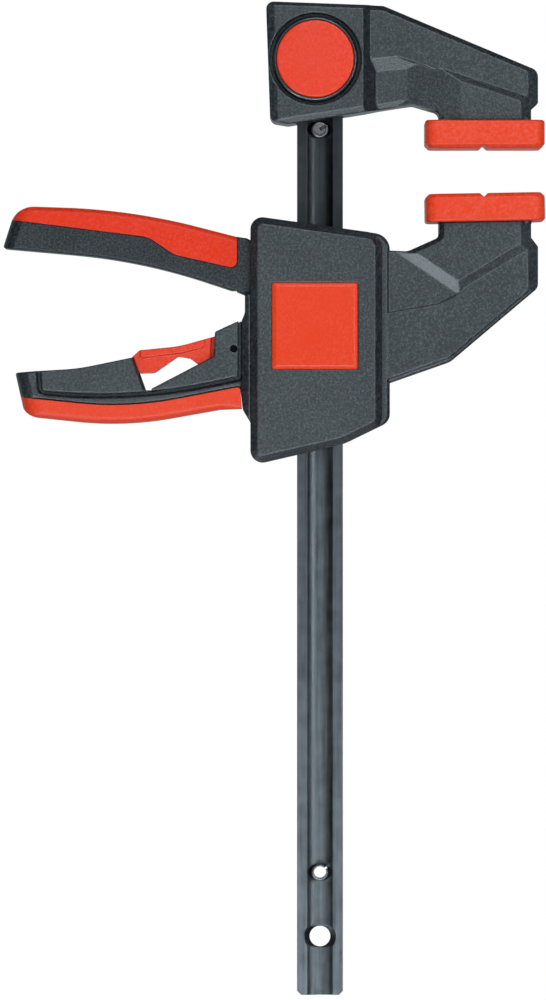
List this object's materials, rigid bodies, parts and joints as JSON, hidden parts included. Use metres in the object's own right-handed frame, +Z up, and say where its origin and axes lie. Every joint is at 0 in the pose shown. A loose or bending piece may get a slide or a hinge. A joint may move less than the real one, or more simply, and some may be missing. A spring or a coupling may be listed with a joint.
{
  "type": "quick release bar clamp",
  "caption": "Quick release bar clamp: steel bar, removable fixed jaw with push button, sliding jaw carriage with squeeze lever, fixed handle, release trigger and brake plate.",
  "frame": {"origin": "centre of the hanging hole near the bar's lower end, midway through the bar's thickness", "axes": "+Z up along the bar towards the fixed jaw; +X towards the jaws' reach; front (button and badge side) faces -Y, so +Y runs through the hanging hole from front to back"},
  "size_m": [0.1771, 0.0309, 0.3251],
  "materials": {
    "bar_steel": "satin, burnished black",
    "black_nylon": "matte",
    "red_pad": "satin",
    "red_grip": "satin",
    "red_plastic": "satin",
    "badge_red": "satin",
    "bright_steel": "satin",
    "spring_steel": "satin"
  },
  "bodies": {
    "bar_and_fixed_jaw": {"bar": "bar_steel", "top_stop_pin": "bright_steel", "bottom_stop_pin": "bright_steel", "fixed_jaw": "black_nylon", "fixed_jaw_pad": "red_pad", "latch_lid": "black_nylon", "button_collar": "black_nylon", "button_spring": "spring_steel"},
    "carriage": {"carriage_housing": "black_nylon", "front_cover": "black_nylon", "badge_plate": "badge_red", "cover_screws": "bright_steel", "moving_jaw_pad": "red_pad", "handle_insert": "black_nylon", "handle_grip": "red_grip", "lever_pivot_pin": "bright_steel", "trigger_pin": "bar_steel", "drive_spring": "spring_steel", "brake_spring": "spring_steel"},
    "lever": {"drive_lever": "black_nylon", "lever_grip": "red_grip", "drive_pin": "bright_steel"},
    "drive_plate_pair": {"drive_plates": "bright_steel"},
    "trigger": {"release_trigger": "red_plastic"},
    "brake": {"brake_plate": "bright_steel"},
    "jaw_release": {"release_button": "red_plastic", "latch_yoke": "bright_steel"}
  },
  "joints": [
    {"name": "carriage_slide", "type": "slide", "parent": "bar_and_fixed_jaw", "child": "carriage", "axis": [0, 0, 1], "range_m": [-0.1355, 0.0143]},
    {"name": "lever_squeeze", "type": "hinge", "parent": "carriage", "child": "lever", "pos_m": [0.0138, 0, 0.2211], "axis": [0, -1, 0], "range_deg": [0, 11], "stiffness_Nm_per_rad": 0.8, "springref_deg": -6.88},
    {"name": "plate_drive", "type": "slide", "parent": "carriage", "child": "drive_plate_pair", "axis": [0, 0, 1], "range_m": [-0.005, 0], "deforming": ["drive_spring"]},
    {"name": "trigger_pull", "type": "hinge", "parent": "carriage", "child": "trigger", "pos_m": [-0.0282, 0, 0.1925], "axis": [0, -1, 0], "range_deg": [0, 10], "stiffness_Nm_per_rad": 0.1, "springref_deg": -5.73},
    {"name": "brake_tilt", "type": "hinge", "parent": "carriage", "child": "brake", "pos_m": [0.0148, 0, 0.1855], "axis": [0, -1, 0], "range_deg": [0, 2.1], "deforming": ["brake_spring"]},
    {"name": "button_press", "type": "slide", "parent": "bar_and_fixed_jaw", "child": "jaw_release", "axis": [0, 1, 0], "range_m": [0, 0.0034], "stiffness_N_per_m": 800, "springref_m": -0.004, "deforming": ["button_spring"]}
  ],
  "couplings": [
    {"joint": "plate_drive", "follows": "lever_squeeze", "m_per_rad": -0.0258},
    {"joint": "brake_tilt", "follows": "trigger_pull", "ratio": 0.207}
  ]
}
